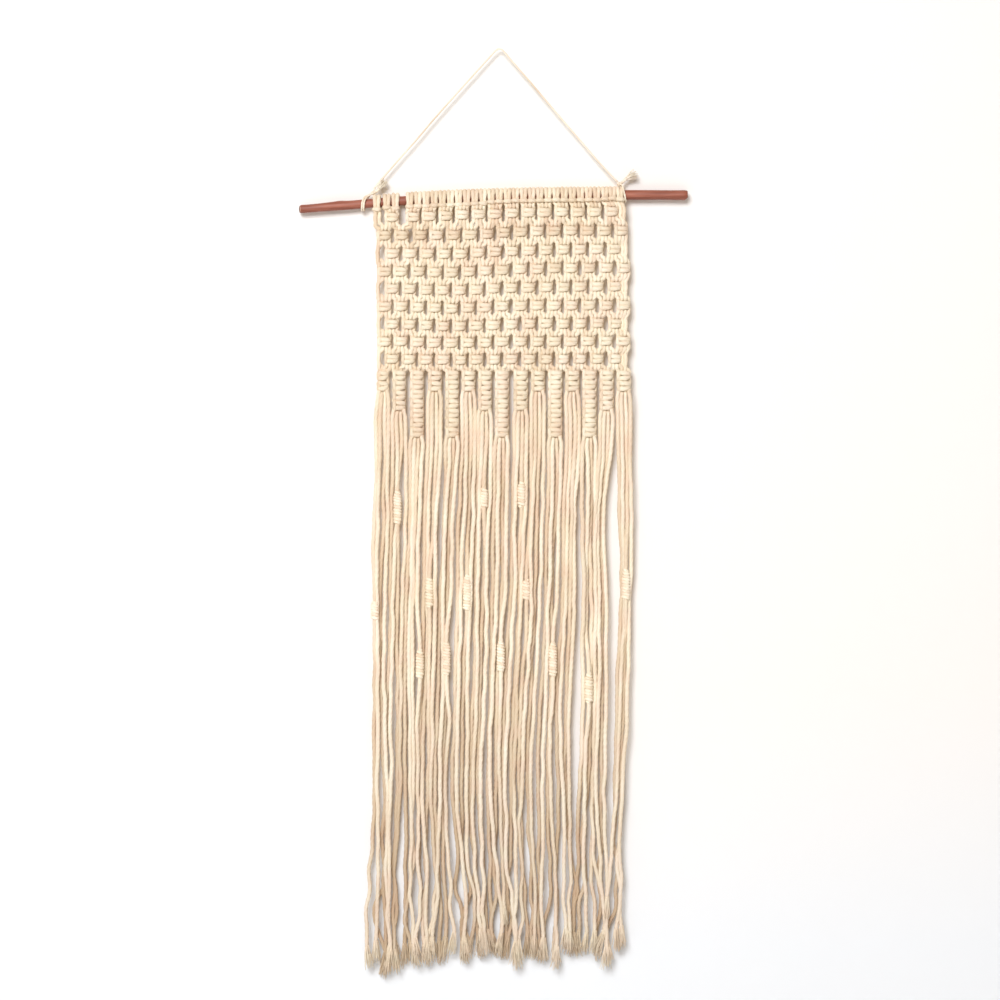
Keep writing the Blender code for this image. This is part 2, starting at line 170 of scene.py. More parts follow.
def axes(nodes, links, source):
    made = nodes.new("ShaderNodeSeparateXYZ")
    links.new(source, made.inputs["Vector"])
    return made.outputs


def mottle(nodes, links, source, size, detail, roughness=0.5):
    made = nodes.new("ShaderNodeTexNoise")
    made.inputs["Scale"].default_value = size
    made.inputs["Detail"].default_value = detail
    made.inputs["Roughness"].default_value = roughness
    links.new(source, made.inputs["Vector"])
    return made.outputs["Fac"]


def reckon(nodes, links, operation, source):
    made = nodes.new("ShaderNodeMath")
    made.operation = operation
    links.new(source, made.inputs[0])
    return made


def multiply(nodes, links, first, second, factor):
    made = nodes.new("ShaderNodeMix")
    made.data_type = "RGBA"
    made.blend_type = "MULTIPLY"
    if isinstance(factor, float):
        made.inputs["Factor"].default_value = factor
    else:
        links.new(factor, made.inputs["Factor"])
    links.new(first, made.inputs["A"])
    links.new(second, made.inputs["B"])
    return made.outputs["Result"]


def relief(nodes, links, source, strength, distance, shader):
    made = nodes.new("ShaderNodeBump")
    made.inputs["Strength"].default_value = strength
    made.inputs["Distance"].default_value = distance
    links.new(source, made.inputs["Height"])
    links.new(made.outputs["Normal"], shader.inputs["Normal"])


cotton = {
    "deep": (0.68, 0.51, 0.375), "mid": (0.85, 0.725, 0.56), "light": (0.92, 0.85, 0.71),
    "fibresAlong": 60.0, "fibresAround": 26.0, "fibreBump": 0.7, "fibreHeight": 0.00035,
    "patchSize": 60, "patchLong": 0.3,     # patches are longer down the rope than across
    "cream": (1.0, 1.0, 0.965), "blush": (1.0, 0.955, 0.94), "blushSize": 34.0,
    # painted shade in the grooves between the plies
    "plyGrooveShade": (0.72, 0.58, 0.46), "plyGrooveShadeShare": 0.4,
    # painted shade: the fringe is painted greyer and darker towards its foot, where less light reaches it
    "footShade": (0.84, 0.815, 0.81), "footShadeFrom": -0.74, "footShadeTo": -1.06,
    # painted shade: the hindmost strands of the fringe are painted browner, as if shaded by the ones in front, most
    # of all low down; the front ones are painted a little lighter
    "frontLit": (1.08, 1.09, 1.10), "behindShade": (0.74, 0.65, 0.55), "behindShadeFrom": -0.0072, "behindShadeTo": -0.0006,
    "behindShadeTop": -0.47, "behindShadeShare": ((0.0, 0.0), (0.2, 0.24), (1.0, 1.0)),
    "roughness": 0.92, "sheen": 0.25, "fuzz": 0.9, "sheenRoughness": 0.6, "sheenTint": (1.0, 0.84, 0.64),
}


def makeCotton(name, plies, sides, tint=(1, 1, 1)):
    made, nodes, links, shader = newMaterial(name, cotton["roughness"])
    shader.inputs["Sheen Weight"].default_value = cotton["sheen"] if plies > 1 else cotton["fuzz"]
    shader.inputs["Sheen Roughness"].default_value = cotton["sheenRoughness"]
    shader.inputs["Sheen Tint"].default_value = (*cotton["sheenTint"], 1)
    where = nodes.new("ShaderNodeTexCoord").outputs     # the UV map runs round the rope, and along it in metres
    spot = axes(nodes, links, where["Object"])

    turn = stretched(nodes, links, where["UV"], (cotton["fibresAround"], cotton["fibresAlong"], 1))
    fibres = mottle(nodes, links, turn, 1, 4)
    hang = stretched(nodes, links, where["Object"], (1, 1, cotton["patchLong"]))
    patches = mottle(nodes, links, hang, cotton["patchSize"], 2)
    blend = nodes.new("ShaderNodeMix")
    blend.inputs["Factor"].default_value = 0.5
    links.new(fibres, blend.inputs["A"])
    links.new(patches, blend.inputs["B"])
    shades = [tuple(c * t for c, t in zip(cotton[k], tint)) for k in ("deep", "mid", "light")]
    colour = ramp(nodes, links, blend.outputs["Result"], list(zip((0.20, 0.44, 0.66), shades)))

    blush = mottle(nodes, links, where["Object"], cotton["blushSize"], 1)
    tones = ramp(nodes, links, blush, [(0.42, cotton["cream"]), (0.62, cotton["blush"])])
    colour = multiply(nodes, links, colour, tones, 1.0)

    # painted shade: the colour darkens towards the fringe's foot
    foot = mapped(nodes, links, spot["Z"], cotton["footShadeFrom"], cotton["footShadeTo"])
    footShades = ramp(nodes, links, foot, [(0.0, (1, 1, 1)), (1.0, cotton["footShade"])])
    colour = multiply(nodes, links, colour, footShades, 1.0)

    # painted shade on the strands nearest the wall, painted light on the front ones
    behind = mapped(nodes, links, spot["Y"], cotton["behindShadeFrom"], cotton["behindShadeTo"])
    behindShades = ramp(nodes, links, behind, [(0.0, cotton["frontLit"]), (1.0, cotton["behindShade"])])
    fall = mapped(nodes, links, spot["Z"], cotton["behindShadeTop"], cotton["footShadeTo"])
    amount = ramp(nodes, links, fall, [(at, (share,) * 3) for at, share in cotton["behindShadeShare"]])
    colour = multiply(nodes, links, colour, behindShades, amount)

    if plies > 1:     # painted shade: a darker groove between one ply and the next
        around = reckon(nodes, links, "MULTIPLY", axes(nodes, links, where["UV"])["X"])
        around.inputs[1].default_value = math.tau * plies * sides / (sides - 1)     # as the sweep spreads its UV
        wave = reckon(nodes, links, "COSINE", around.outputs[0])
        half = mapped(nodes, links, wave.outputs[0], -1, 1)
        plyGrooveShades = ramp(nodes, links, half, [(0.0, cotton["plyGrooveShade"]), (0.35, (1, 1, 1))])
        colour = multiply(nodes, links, colour, plyGrooveShades, cotton["plyGrooveShadeShare"])
        relief(nodes, links, fibres, cotton["fibreBump"], cotton["fibreHeight"], shader)
    links.new(colour, shader.inputs["Base Color"])
    return made


ropeCotton = makeCotton("natural cotton rope", 3, 12)
coilCotton = makeCotton("whiter cotton of the coil knots", 3, 12, (1.05, 1.07, 1.09))
# painted light: the loose fibres get a lighter copy of the cotton, making up for the shade they cast on one another
litLooseCotton = makeCotton("loose cotton fibre painted lighter", 1, 3, (1.08, 1.09, 1.07))
# painted light: the tie tufts get a much paler copy of the cotton, for the washed-out light on them
litTuftCotton = makeCotton("loose fibre of the ties painted pale", 1, 3, (1.08, 1.17, 1.30))
twineCotton = makeCotton("natural cotton twine", 2, 8, (1.0, 1.02, 1.06))


# ---- sweeping a rope along a line

def profileOf(name, plies, sides, valley):
    data = bpy.data.curves.new(name, "CURVE")
    data.dimensions = "2D"
    spline = data.splines.new("POLY")
    spline.points.add(sides - 1)
    for k, point in enumerate(spline.points):
        angle = -math.tau * k / sides
        reach = (1 - valley * (0.5 - 0.5 * math.cos(plies * angle)) ** 1.5) * (1 + 0.35 * valley)
        point.co = (reach * math.cos(angle), reach * math.sin(angle), 0, 1)
    spline.use_cyclic_u = True
    made = bpy.data.objects.new(name, data)
    scene.collection.objects.link(made)
    made.hide_render = True
    return made


profiles = {
    "rope": profileOf("ropeProfile", 3, 12, 0.15),
    "twine": profileOf("twineProfile", 2, 8, 0.16),
    "fibre": profileOf("fibreProfile", 1, 3, 0.0),
}


def sweep(name, lines, profile, lay, surface):
    # one mesh from a rope of changing thickness along each line; lay is one full turn of its plies
    curve = bpy.data.curves.new(name, "CURVE")
    curve.dimensions = "3D"
    curve.bevel_mode = "OBJECT"
    curve.bevel_object = profiles[profile]
    curve.use_fill_caps = True
    for line in lines:
        spline = curve.splines.new("POLY")
        spline.points.add(len(line) - 1)
        spline.points.foreach_set("co", np.c_[line[:, :3], np.ones(len(line))].astype(np.float32).ravel())
        spline.points.foreach_set("radius", line[:, 3].astype(np.float32))
        run = np.concatenate([[0], np.cumsum(np.linalg.norm(np.diff(line[:, :3], axis=0), axis=1))])
        spline.points.foreach_set("tilt", (math.tau * run / lay).astype(np.float32))
    guide = bpy.data.objects.new(name + "Guide", curve)
    scene.collection.objects.link(guide)
    mesh = bpy.data.meshes.new_from_object(guide.evaluated_get(bpy.context.evaluated_depsgraph_get()))
    bpy.data.objects.remove(guide)
    uv = np.empty(len(mesh.loops) * 2, np.float32)
    mesh.uv_layers[0].data.foreach_get("uv", uv)
    uv[1::2] *= sum(lengthOf(line) for line in lines) / len(lines)
    mesh.uv_layers[0].data.foreach_set("uv", uv)
    work = bmesh.new()
    work.from_mesh(mesh)
    bmesh.ops.remove_doubles(work, verts=work.verts, dist=1e-6)
    bmesh.ops.recalc_face_normals(work, faces=work.faces)
    work.to_mesh(mesh)
    work.free()
    mesh.name = name
    mesh.materials.clear()
    mesh.materials.append(surface)
    mesh.shade_smooth()
    made = bpy.data.objects.new(name, mesh)
    scene.collection.objects.link(made)
    return made


def place(piece, slot, *nodes):
    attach(piece, "root")
    if nodes:
        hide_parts(*nodes)
    return piece


# ---- hanging cord
hangingCord = {"thick": 0.0024, "lay": 0.0075, "step": 0.0016}
cordRoute = [
    # x, z, in millimetres, from the left tie over the nail to the right tie
    (-156.4, -172.2), (-149.0, -163.0), (-126.9, -137.5), (-104.6, -112.5), (-83.4, -87.5),
    (-61.3, -62.5), (-38.8, -37.5), (-16.1, -12.5), (-5.6, -1.0), (-3.4, 0.6),
    (-0.6, 1.2),
    (2.2, 0.5), (4.0, -1.1), (13.4, -12.5), (35.4, -37.5), (56.5, -62.5),
    (77.8, -87.5), (99.4, -112.5), (120.9, -137.5), (140.6, -158.8), (146.5, -164.3),
]


def makeHangingCord():
    thick = hangingCord["thick"]
    line = smoothLine([(x * mm, 0, z * mm, thick / 2, hangingCord["step"]) for x, z in cordRoute])
    made = place(sweep("hangingCord", [line], "twine", hangingCord["lay"], twineCotton),
                 "cotton_twine", "hanging_cord")
    print("hanging cord", round(lengthOf(line), 4), "m")


makeHangingCord()


# ---- rod: its bend and its taper
rod = {
    "rings": 160, "sides": 40, "edge": 0.16, "swell": 0.055, "nicks": 0.018,
    # a low knot where a twig was cut off
    "twigX": -0.2003, "twigWide": 0.007, "twigHigh": 0.13, "twigUpTo": -0.19,
    # the cut ends: how far their rims are rounded and their faces stand out, the left one's slant,
    # and what the right one has lost at its corner
    "rounded": 0.90, "domed": 0.0006, "slant": 0.34, "corner": 0.24,
}
rodShape = [
    # x, z, radius
    (-0.2513, -0.1988, 0.0051), (-0.2260, -0.1971, 0.0053), (-0.2035, -0.1950, 0.0057),
    (-0.1725, -0.1926, 0.0056), (-0.1225, -0.1885, 0.0058), (-0.0610, -0.1853, 0.0059),
    (0.0000, -0.1831, 0.0059), (0.0800, -0.1817, 0.0060), (0.1575, -0.1813, 0.0061),
    (0.2338, -0.1813, 0.0061),
]


def rodAt(x):
    spot = placeOn([row[0] for row in rodShape], x)
    return through([row[1] for row in rodShape], spot), through([row[2] for row in rodShape], spot)


wood = {
    "dark": (0.13, 0.035, 0.020), "mid": (0.28, 0.083, 0.048), "light": (0.42, 0.145, 0.088),
    "streaks": (14, 260, 260), "grainBump": 0.5, "grainHeight": 0.0004,     # long streaks of grain along the rod
    # the sawn ends are paler wood, darker towards the back
    "sawn": (0.52, 0.22, 0.13), "stained": (0.085, 0.040, 0.026), "endDarkFrom": -0.0012, "endDarkTo": 0.0014,
    "roughness": 0.5, "shine": 0.4,
}


def makeWood():
    made, nodes, links, shader = newMaterial("terracotta stained wood", wood["roughness"])
    shader.inputs["Specular IOR Level"].default_value = wood["shine"]
    where = nodes.new("ShaderNodeTexCoord").outputs["Object"]
    grain = mottle(nodes, links, stretched(nodes, links, where, wood["streaks"]), 1, 6, 0.6)
    colour = ramp(nodes, links, grain, [(0.25, wood["dark"]), (0.48, wood["mid"]), (0.72, wood["light"])])
    # the sawn end faces turn darker towards the back
    depth = mapped(nodes, links, axes(nodes, links, where)["Y"], wood["endDarkFrom"], wood["endDarkTo"])
    endColours = ramp(nodes, links, depth, [(0.0, wood["sawn"]), (1.0, wood["stained"])])
    facing = nodes.new("ShaderNodeNewGeometry").outputs["True Normal"]
    across = reckon(nodes, links, "ABSOLUTE", axes(nodes, links, facing)["X"])
    cut = ramp(nodes, links, across.outputs[0], [(0.74, (0, 0, 0)), (0.80, (1, 1, 1))])
    ends = nodes.new("ShaderNodeMix")
    ends.data_type = "RGBA"
    links.new(cut, ends.inputs["Factor"])
    links.new(colour, ends.inputs["A"])
    links.new(endColours, ends.inputs["B"])
    links.new(ends.outputs["Result"], shader.inputs["Base Color"])
    relief(nodes, links, grain, wood["grainBump"], wood["grainHeight"], shader)
    return made


def makeRod():
    start, end = rodShape[0][0], rodShape[-1][0]
    work = bmesh.new()
    bmesh.ops.create_cone(work, cap_ends=True, segments=rod["sides"], radius1=1, radius2=1, depth=1,
                          matrix=Matrix.Rotation(math.radians(90), 4, "Y"))
    caps = [f for f in work.faces if len(f.verts) > 4]
    bmesh.ops.inset_individual(work, faces=caps, thickness=rod["edge"])     # a bevelled edge round each cut end
    for k in range(1, rod["rings"]):
        bmesh.ops.bisect_plane(work, geom=work.verts[:] + work.edges[:] + work.faces[:],
                               plane_co=(k / rod["rings"] - 0.5, 0, 0), plane_no=(1, 0, 0))
    for v in work.verts:
        along = v.co.x + 0.5
        x = start + (end - start) * along
        z, radius = rodAt(x)
        angle = math.atan2(v.co.y, v.co.z)
        atEnd = along < 1e-4 or along > 1 - 1e-4
        outer = math.hypot(v.co.y, v.co.z)
        swell = noise.noise(Vector((x * 38, math.cos(angle) * 0.8, math.sin(angle) * 0.8))) * rod["swell"]
        swell += noise.noise(Vector((x * 190, math.cos(angle) * 3, math.sin(angle) * 3))) * rod["nicks"]
        if x < rod["twigUpTo"]:
            swell += (rod["twigHigh"] * math.exp(-((x - rod["twigX"]) / rod["twigWide"]) ** 2)
                      * max(0.0, math.cos(angle - 0.4)))
        reach = radius * outer * (1 + swell)
        if atEnd and outer > 0.95:
            reach *= rod["rounded"]
        if atEnd and outer < 0.95:
            x += (-1 if along < 0.5 else 1) * rod["domed"]
        if atEnd and along < 0.5:     # the left end is sawn on the slant, the right end has lost its lower corner
            x += rod["slant"] * (radius - reach * math.sin(angle))
        elif atEnd:
            reach *= 1 - rod["corner"] * max(0.0, -math.cos(angle))
        v.co = (x, reach * math.sin(angle), z + reach * math.cos(angle))
    bmesh.ops.recalc_face_normals(work, faces=work.faces)
    mesh = bpy.data.meshes.new("rodBranch")
    work.to_mesh(mesh)
    work.free()
    mesh.materials.append(makeWood())
    mesh.shade_smooth()
    mesh.set_sharp_from_angle(angle=math.radians(45))
    made = bpy.data.objects.new("rodBranch", mesh)
    scene.collection.objects.link(made)
    place(made, "wood", "rod")
    print("rod", len(mesh.polygons), "faces")


makeRod()


# ---- the warped grid of the net
net = {
    "columns": 15, "rows": 9, "columnPitch": 0.02143, "rowPitch": 0.02233,
    "firstX": -0.1456, "firstZ": -0.2081, "y": -0.0052, "headY": -0.0085,
    "rise": 0.0056, "sag": 0.0026, "dip": 0.0031, "dipColumn": 3.9,
    "spread": (0.00475, 0.00438), "knotHeight": 0.0106, "deep": 0.0049, "turn": 6.0, "edge": 0.0013,
    # how unevenly the knots are tied: aside and up or down in metres, turned in degrees, and shortest to tallest
    "uneven": (0.00035, 0.00045, 7), "heights": (0.96, 1.05),
    # where the four ropes enter and leave a knot: across and back in millimetres, and how far from its middle
    "shoulders": ((-6.4, -1.4), (-2.2, -3.4), (2.2, -3.6), (6.1, -1.8)), "shoulder": 0.0088,
    # half way to the next row, for the working ropes and the middle ones: the upper place's share, and how far down
    "crossings": ((0.93, 0.66), (0.12, 0.34)), "crossBack": 0.0008,
    # how far each column leans to the left lower down, in millimetres
    "drift": (0, -0.3, -0.7, -1.1, -1.5, -1.9, -2.2, -2.3, -1.3, -1.1, -1.3, -1.6, -1.6, -1.2, -0.6),
}
heading = {
    "ropes": 30, "firstX": (-0.1538, -0.1413, -0.1306), "fourthX": -0.1125, "pitch": 0.01014,
    "thick": 0.0049, "bar": 0.0054, "pushed": 0.0008,     # the last two are pushed up close
    # how far down in front of the rod each bar lies, in degrees from the rod's top
    "barAngles": (130, 123, 133, 127, 128, 130, 128, 129, 130, 130, 129, 128, 129, 121, 119, 120, 117, 118, 119,
                  118, 119, 117, 118, 119, 118, 117, 118, 113, 111, 116),
}
sinnets = {
    "knots": (2, 4, 7, 2, 7, 2, 4, 7, 4, 2, 7, 2, 7, 4, 2),
    "top": -0.4010, "bottom": {2: -0.4268, 4: -0.4506, 7: -0.4838},
    "spread": (0.0046, 0.0043), "full": 1.07,
    "narrow": 0.68,     # the first one has pulled in tight
    # how far each one is turned, in degrees, and by how much that varies
    "turns": (-24, 12, 12, 12, 12, 12, 12, 5, 5, 5, 5, 5, 5, 5, 5), "tilt": 4,
    # how far each one has slid sideways, in millimetres
    "slid": (0.2, -1.8, -1.0, 0, 0, -1.0, -2.0, -2.2, 0, 0, 0, 0, 0, 0, 0),
}
rope = {
    "thick": 0.0050, "slack": 0.0055, "slackVaries": (0.97, 1.05), "foot": 0.90, "cutEnd": 0.55, "lay": 0.026,
    "knotStep": 0.0020, "slackStep": 0.0034,
}


def headingShift(column):
    # the first rows follow the heads above them, which don't sit at the net's own pitch
    if column < 0.9:
        return -0.0015 if column < 0.3 else -0.0004
    right = 0.0063 - 0.0150 * (column - 1.25) / 13
    return right if column > 1.1 else (right - 0.0015) / 2


def columnX(column, row):
    lean = through(net["drift"], column) * mm * min(max((row - 1.8) / 2.6, 0), 1) if row <= net["rows"] else 0
    return net["firstX"] + net["columnPitch"] * column + lean + max(0.0, 1 - row / 4.5) ** 1.5 * headingShift(column)


def rowZ(column, row):
    # the net hangs from a sloping rod, slack in its upper rows and dipping left of its middle
    last = net["columns"] - 1
    across = 1 - (1 - min(max(column, 0), last) / last) ** 2
    sag = net["sag"] * (1 - 0.7 * across) * min(max((8.5 - row) / 4.5, 0), 1)
    wide = 1.9 if column < net["dipColumn"] else 3.3
    dip = net["dip"] * math.exp(-((column - net["dipColumn"]) / wide) ** 2)
    dip *= blendIn(row, 0.2, 2.6) * (1 - 0.6 * blendIn(row, 6.6, 9.4)) * (row <= net["rows"])
    rise = net["rise"] * across * max(0.0, 1 - (row - 1) / 5.5)
    return net["firstZ"] - net["rowPitch"] * (row - 1) + rise - sag - dip


def planeY(z):
    # the net comes off the front of the rod and swings back to hang straight
    return net["y"] + (net["headY"] - net["y"]) * math.exp((z - net["firstZ"]) / 0.018 - 0.6)


def headX(i):
    first = heading["firstX"]
    if i < len(first):
        return first[i]
    return heading["fourthX"] + heading["pitch"] * (i - len(first)) - heading["pushed"] * max(0, i - 27)


# Half a square knot: to the side and back in spreads, up in half-knot heights, and the rope's half width in mm.
# One working rope crosses in front of the two middle ropes, the other goes behind them.
halfKnot = {
    "front": [(-1.50, 0.05, 0.50, 2.40), (-1.42, -0.12, 0.30, 2.55), (-1.05, -0.60, 0.10, 2.75),
              (-0.45, -0.94, 0.00, 2.92), (0.25, -0.98, -0.02, 2.92), (0.90, -0.84, -0.04, 2.90),
              (1.36, -0.42, -0.14, 2.70)],
    "back": [(1.50, -0.85, 0.50, 2.35), (1.50, -0.95, 0.15, 2.35), (1.42, -0.93, -0.13, 2.35),
             (1.12, -0.45, -0.33, 2.25), (0.92, 0.25, -0.36, 2.20), (0.42, 0.95, -0.14, 2.30),
             (-0.42, 0.95, 0.14, 2.30), (-0.92, 0.25, 0.36, 2.20), (-1.12, -0.45, 0.33, 2.25),
             (-1.42, -0.93, 0.13, 2.35), (-1.52, -0.98, -0.15, 2.40)],
    "middle": (0.46, 0.05, 0.00, 2.10),
    "dive": (0.46, -0.05, 0.66, 2.20),     # above the first bar and below the last the rope dives out of sight
}


def turned(x, y, a, b, turn):
    return x + a * math.cos(turn) - b * math.sin(turn), y + a * math.sin(turn) + b * math.cos(turn)


def knotKeys(role, x, y, top, halves, halfHeight, spread, turn, full=1.0):
    # role 0 and 3 are the working ropes, 1 and 2 the ropes they are tied round
    found = []
    for n in range(halves):
        side = 1 if n % 2 == 0 else -1
        middle = top - (n + 0.5) * halfHeight
        if role in (1, 2):
            out, back, reach, wide = halfKnot["dive"]
            rows = [(out, back, reach, wide)] * (n == 0) + [halfKnot["middle"]]
            rows += [(out, back, -reach, wide)] * (n == halves - 1)
            rows = [(a if role == 2 else -a, b, c, r) for a, b, c, r in rows]
        else:
            rows = [(side * a, b, c, r) for a, b, c, r in halfKnot["front" if role == 0 else "back"]]
        for a, b, c, r in rows:
            if role == 3 and a > 0.9 and b < 0:     # on the right the rope tucks in behind the bars
                a, b = a * 1.09, b * -0.30
            px, py = turned(x, y, a * spread[a > 0], b * net["deep"], turn)
            found.append((px, py, middle + c * halfHeight, r * mm * full, rope["knotStep"]))
    return found


def shoulderKey(role, x, y, z, turn, up):
    # where the four ropes enter and leave a knot of the net, side by side
    across, back = net["shoulders"][role]
    px, py = turned(x, y, across * mm, back * mm, turn)
    return (px, py, z + (net["shoulder"] if up else -net["shoulder"]), rope["thick"] / 2, rope["knotStep"])


def headKeys(head, side):
    # from the middle of the front bar, under and up behind the rod, over it and down behind the bar
    x = headX(head)
    z, radius = rodAt(x)
    half, bar, low = heading["thick"] / 2, heading["bar"] / 2, heading["barAngles"][head]
    around = [
        # across, degrees from the rod's top towards the front, distance off the snug fit (mm), half width
        (0.0, low, 6.3, bar), (1.8, low, 6.2, bar), (3.0, low + 3, 5.1, bar), (3.4, low + 13, 2.6, half),
        (3.0, 156, 0.6, half), (2.6, 180, 0.1, half), (2.5, 217, 0, half), (2.52, 258, 0, half * 1.04),
        (2.56, 300, 0, half * 1.08), (2.56, 342, 0, half * 1.08), (2.54, 384, 0, half * 1.07),
        (2.44, 426, 0, half * 1.03), (1.98, 346 + low, 0, half * 0.95),
    ]
    found = []
    for across, degrees, off, wide in around:
        reach = radius + half + off * mm
        angle = math.radians(degrees)
        found.append((x + side * across * mm, -reach * math.sin(angle), z + reach * math.cos(angle),
                      wide, rope["knotStep"]))
    found.append((x + side * 2.05 * mm, -radius - half + 0.0003, z - radius - 0.0042, half, rope["knotStep"]))
    return found


# ---- fringe: how each group of four ropes drifts, and where its four tips hang
fringe = {
    "heights": (-487.5, -587.5, -687.5, -837.5, -937.5, -1025, -1100, -1150),
    "spread": (-8.0, -2.9, 2.9, 8.0), "back": 0.0016, "front": -0.0068, "startBelow": 0.034, "keyEvery": 0.012,
    # some groups hang closer together
    "gather": (0.88, 1, 0.90, 0.96, 0.88, 0.97, 0.91, 1, 0.92, 0.96, 0.90, 0.94, 0.90, 0.82, 0.76),
    # which ropes of a group tend to hang in front
    "lean": (-0.35, 0.40, -0.40, 0.35),
    # ropes cross near their tips
    "order": ((0, 1, 2, 3), (0, 2, 1, 3), (1, 0, 2, 3), (0, 1, 3, 2), (0, 2, 1, 3)),
    # how far below the nail the ropes have come free of the knots, and then go their own ways
    "free": (0.45, 0.56), "loose": (0.90, 1.11),
    # how far each rope strays sideways, in a long drift, in bends that grow low down, and in ripples
    "drift": 0.0034, "bend": 0.0014, "lowBend": 0.0070, "ripple": 0.0016, "crimp": 0.0062, "flutter": 0.0022,
}
fringeGroups = [
    # x at each height, then x and z of the four tips, in millimetres
    ((-147, -149, -151, -150, -150, -151, -154, -156), ((-166, -1150), (-156, -1144), (-145, -1163), (-140, -1157))),
    ((-126, -128, -131, -132, -133, -133, -137, -139), ((-144, -1158), (-138, -1150), (-133, -1155), (-128, -1145))),
    ((-105, -108, -110, -111, -111, -110, -111, -111), ((-121, -1149), (-114, -1145), (-105, -1148), (-100, -1140))),
    ((-82, -86, -89, -92, -94, -95, -96, -96), ((-98, -1144), (-93, -1148), (-89, -1138), (-84, -1140))),
    ((-60, -65, -68, -71, -74, -74, -73, -71), ((-80, -1138), (-75, -1145), (-70, -1140), (-61, -1133))),
    ((-39, -43, -45, -49, -51, -47, -45, -43), ((-50, -1135), (-44, -1138), (-39, -1145), (-35, -1141))),
    ((-19, -22, -24, -28, -31, -30, -27, -22), ((-29, -1139), (-25, -1128), (-20, -1134), (-15, -1131))),
    ((2, 0, -1, -7, -10, -9, -7, -6), ((-11, -1131), (-5, -1136), (-2, -1134), (6, -1101))),
    ((25, 21, 20, 13, 10, 9, 12, 14), ((8, -1136), (12, -1139), (16, -1145), (21, -1151))),
    ((47, 44, 41, 34, 31, 30, 31, 34), ((25, -1142), (34, -1139), (39, -1131), (44, -1138))),
    ((69, 66, 64, 57, 56, 57, 58, 59), ((48, -1144), (54, -1140), (62, -1142), (70, -1150))),
    ((91, 87, 85, 79, 79, 81, 82, 81), ((70, -1146), (82, -1128), (88, -1132), (94, -1135))),
    ((112, 111, 111, 110, 107, 104, 102, 102), ((95, -1135), (100, -1131), (106, -1134), (114, -1131))),
    ((132, 125, 126, 125, 123, 123, 123, 125), ((118, -1135), (122, -1140), (129, -1142), (134, -1150))),
    ((155, 157, 157, 151, 148, 147, 145, 144), ((132, -1089), (140, -1122), (145, -1129), (150, -1125))),
]
fray = {
    "fibres": 40, "length": 0.030, "above": 0.011, "past": 0.7, "thick": 0.00062, "splay": 0.17, "curl": 0.10,
}
coils = {
    "turn": 0.0037, "round": 0.0033, "thick": 0.0043, "step": 0.0017, "uneven": 1.3,
    "pull": 85,     # how far from a coil knot's middle its strand is drawn over to it, in millimetres
}
coilKnots = [
    # rope strand, x, top and bottom height, in millimetres
    (6, -128, -550, -592), (26, -20, -548, -572), (34, 27, -540, -571), (14, -88, -660, -696),
    (22, -41, -656, -700), (0, -156, -688, -712), (36, 33, -662, -686), (58, 157, -649, -687),
    (11, -100, -749, -784), (19, -67, -739, -780), (31, 1, -738, -776), (43, 66, -740, -782),
    (49, 111, -778, -815),
]


def strandPlace(i, z):
    # where strand i of the fringe hangs at height z
    group, j = divmod(i, 4)
    xs, tips = fringeGroups[group]
    middle = through([float(v) for v in xs], placeOn(fringe["heights"], z / mm)) * mm
    free = blendIn(-z, *fringe["free"])
    loose = blendIn(-z, *fringe["loose"])
    tipX = tips[fringe["order"][(group * 3) % 5][j]][0]
    gather = 1 + (fringe["gather"][group] - 1) * free
    lively = 0.5 + 1.1 * random.Random(i).random() ** 2     # some strands hang straighter than others
    x = middle + fringe["spread"][j] * mm * gather * (1 - loose) + (tipX * mm - middle) * loose
    bend = fringe["bend"] + fringe["lowBend"] * blendIn(-z, 0.90, 1.06)
    x += wander(i, z, 6) * fringe["drift"] * free * (1 - 0.4 * loose)
    x += wander(i + 90, z, 15) * bend * free * (0.4 if i in (0, 59) else lively)
    x += wander(i + 400, z, 42) * fringe["ripple"] * free
    x += wander(i + 150, z, 28) * fringe["crimp"] * lively * blendIn(-z, 0.95, 1.08)
    front = 0.5 + 0.5 * math.tanh(2.4 * (wander(i + 200, z, 3.5) * 1.5 + fringe["lean"][j]))
    for strand, coilX, top, bottom in coilKnots:
        if strand == i:
            near = 1 - blendIn(abs(z / mm - (top + bottom) / 2), abs(top - bottom) / 2, coils["pull"])
            x += (coilX * mm - x) * near
            front += (1.0 - front) * near
    y = net["y"] + (fringe["back"] + (fringe["front"] - fringe["back"]) * front - net["y"]) * free
    y += wander(i + 300, z, 26) * fringe["flutter"] * blendIn(-z, 0.98, 1.10)
    return x, y


# From each rope's last turn down into the fringe: across, back, how far below, half width, in mm.
underSinnet = (
    ((-6.9, -3.4, 1.2, 2.4), (-8.0, -3.0, 7.5, 2.6)),
    ((-2.4, -3.0, 3.6, 2.3), (-3.2, -2.6, 10.5, 2.6)),
    ((1.9, -1.2, 3.6, 2.3), (2.0, 0.2, 10.5, 2.5)),
    ((6.1, -4.4, 0.6, 2.4), (7.6, -4.2, 7.5, 2.6)),
)


